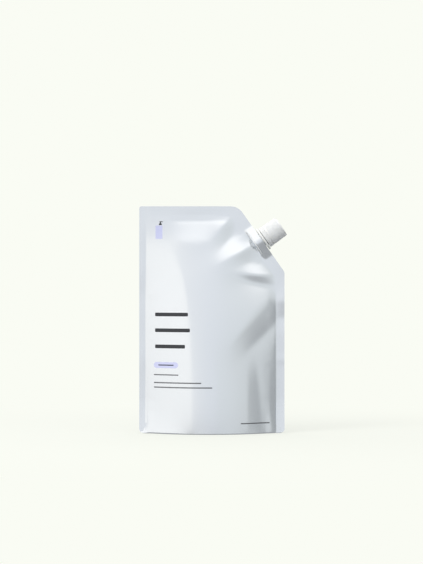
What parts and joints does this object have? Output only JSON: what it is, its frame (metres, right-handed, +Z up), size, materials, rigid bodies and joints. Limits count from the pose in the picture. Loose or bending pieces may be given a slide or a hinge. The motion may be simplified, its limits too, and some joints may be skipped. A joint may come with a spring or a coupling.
{
  "type": "hand soap refill pack",
  "caption": "Stand-up film pouch of hand soap with a screw-capped pouring spout welded into its cut-off top corner and a folded-in base that it stands on.",
  "frame": {"origin": "on the floor under the middle of the pack's box, cap included", "axes": "+Z up, front film faces -Y, spout and cap on the +X side"},
  "size_m": [0.1524, 0.0576, 0.234],
  "materials": {
    "pearl_film": "satin pearl white laminated film",
    "white_moulding": "smooth white polyethylene",
    "white_cap": "white polypropylene with fine moulded ribs"
  },
  "bodies": {
    "pack": {"pouch": "pearl_film", "spout": "white_moulding"},
    "ring": {"tamper_ring": "white_moulding"},
    "screw_cap": {"cap": "white_cap"}
  },
  "joints": [
    {"name": "cap_turn", "type": "hinge", "parent": "pack", "child": "ring", "pos_m": [0.05493, 0, 0.20238], "axis": [0.8162, 0, 0.5778], "range_deg": [0, 1440]},
    {"name": "cap_lift", "type": "slide", "parent": "ring", "child": "screw_cap", "axis": [0.8162, 0, 0.5778], "range_m": [0, 0.016]}
  ],
  "couplings": [
    {"joint": "cap_lift", "follows": "cap_turn", "m_per_rad": 0.00063661}
  ]
}
